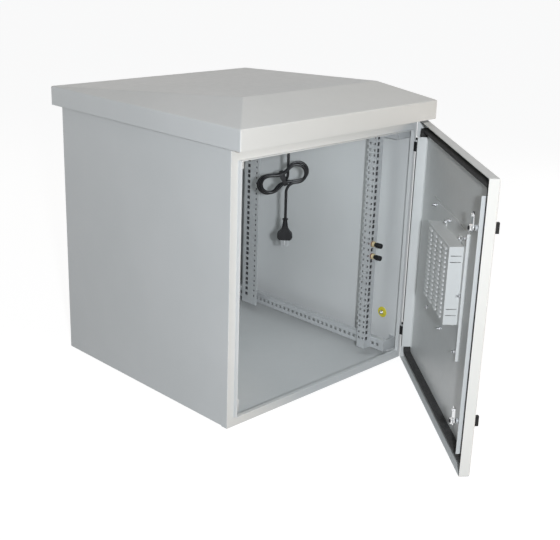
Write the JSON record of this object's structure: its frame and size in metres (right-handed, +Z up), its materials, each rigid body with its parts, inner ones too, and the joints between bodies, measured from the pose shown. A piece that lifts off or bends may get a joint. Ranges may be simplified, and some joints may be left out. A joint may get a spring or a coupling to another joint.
{
  "type": "outdoor wall-mounted rack cabinet",
  "caption": "Square sheet-steel outdoor rack cabinet with a sloped overhanging rain roof, a vented swing door with cam locks, inner rack rails, roof fans and a coiled power lead.",
  "frame": {"origin": "centre of the base's underside", "axes": "+Z up, the door side faces -Y, the wall side faces +Y, the hinges are on +X"},
  "size_m": [0.63, 1.0943, 0.705],
  "materials": {
    "body_paint": "satin fine-textured powder coat",
    "door_paint": "satin fine-textured powder coat",
    "rail_zinc": "zinc-plated sheet",
    "bright_zinc": "bright zinc",
    "chrome": "polished plating",
    "black_plastic": "matte moulded",
    "black_metal": "satin black",
    "cord_rubber": "matte cord sheath",
    "seal_rubber": "matte foam",
    "filter": "open-pored mat",
    "yellow": "printed film",
    "cream": "moulded",
    "red_brown": "moulded"
  },
  "bodies": {
    "cabinet": {"body_shell": "body_paint", "front_frame": "body_paint", "rain_roof": "body_paint", "roof_brackets": "rail_zinc", "roof_bolts": "bright_zinc", "depth_rail_lower_left": "rail_zinc", "depth_rail_lower_right": "rail_zinc", "depth_rail_upper_left": "rail_zinc", "depth_rail_upper_right": "rail_zinc", "rack_rail_front_left": "rail_zinc", "rack_rail_front_right": "rail_zinc", "rack_rail_rear_left": "rail_zinc", "rack_rail_rear_right": "rail_zinc", "rail_bolts": "bright_zinc", "terminal_posts": "black_plastic", "terminal_collars": "cream", "terminal_tails": "red_brown", "earth_disc": "yellow", "earth_stud": "bright_zinc", "fan_housing_left": "black_plastic", "fan_housing_right": "black_plastic", "fan_guard_left": "bright_zinc", "fan_guard_right": "bright_zinc", "fan_screws": "bright_zinc", "cord_gland": "black_plastic", "cord_lead": "cord_rubber", "cord_hank": "cord_rubber", "cord_tail": "cord_rubber", "cord_tie": "black_plastic", "plug_body": "black_plastic", "plug_pins": "chrome", "hinge_block_lower": "black_metal", "hinge_block_upper": "black_metal"},
    "door": {"door_leaf": "door_paint", "door_seal": "seal_rubber", "seal_angles": "door_paint", "vent_plate": "door_paint", "vent_studs": "bright_zinc", "louvre_box": "door_paint", "box_screws": "bright_zinc", "filter_mat": "filter", "hinge_ear_lower": "door_paint", "hinge_ear_upper": "door_paint", "hinge_pin_lower": "black_metal", "hinge_pin_upper": "black_metal", "lock_barrel_lower": "bright_zinc", "lock_barrel_upper": "bright_zinc"},
    "lock_lower": {"lock_knob_lower": "black_plastic", "lock_cam_lower": "chrome", "lock_nut_lower": "chrome"},
    "lock_upper": {"lock_knob_upper": "black_plastic", "lock_cam_upper": "chrome", "lock_nut_upper": "chrome"},
    "fan_left": {"fan_rotor_left": "black_plastic"},
    "fan_right": {"fan_rotor_right": "black_plastic"}
  },
  "joints": [
    {"name": "door_swing", "type": "hinge", "parent": "cabinet", "child": "door", "pos_m": [0.296, -0.306, 0.3], "axis": [0, 0, 1], "range_deg": [-50, 60]},
    {"name": "lock_lower_turn", "type": "hinge", "parent": "door", "child": "lock_lower", "pos_m": [-0.04337, -0.74312, 0.1058], "axis": [0.766, -0.6428, 0], "range_deg": [0, 90]},
    {"name": "lock_upper_turn", "type": "hinge", "parent": "door", "child": "lock_upper", "pos_m": [-0.04337, -0.74312, 0.5118], "axis": [0.766, -0.6428, 0], "range_deg": [0, 90]},
    {"name": "fan_left_spin", "type": "hinge", "parent": "cabinet", "child": "fan_left", "pos_m": [-0.11, 0.09, 0.62], "axis": [0, 0, 1], "continuous": true},
    {"name": "fan_right_spin", "type": "hinge", "parent": "cabinet", "child": "fan_right", "pos_m": [0.11, 0.09, 0.62], "axis": [0, 0, 1], "continuous": true}
  ]
}
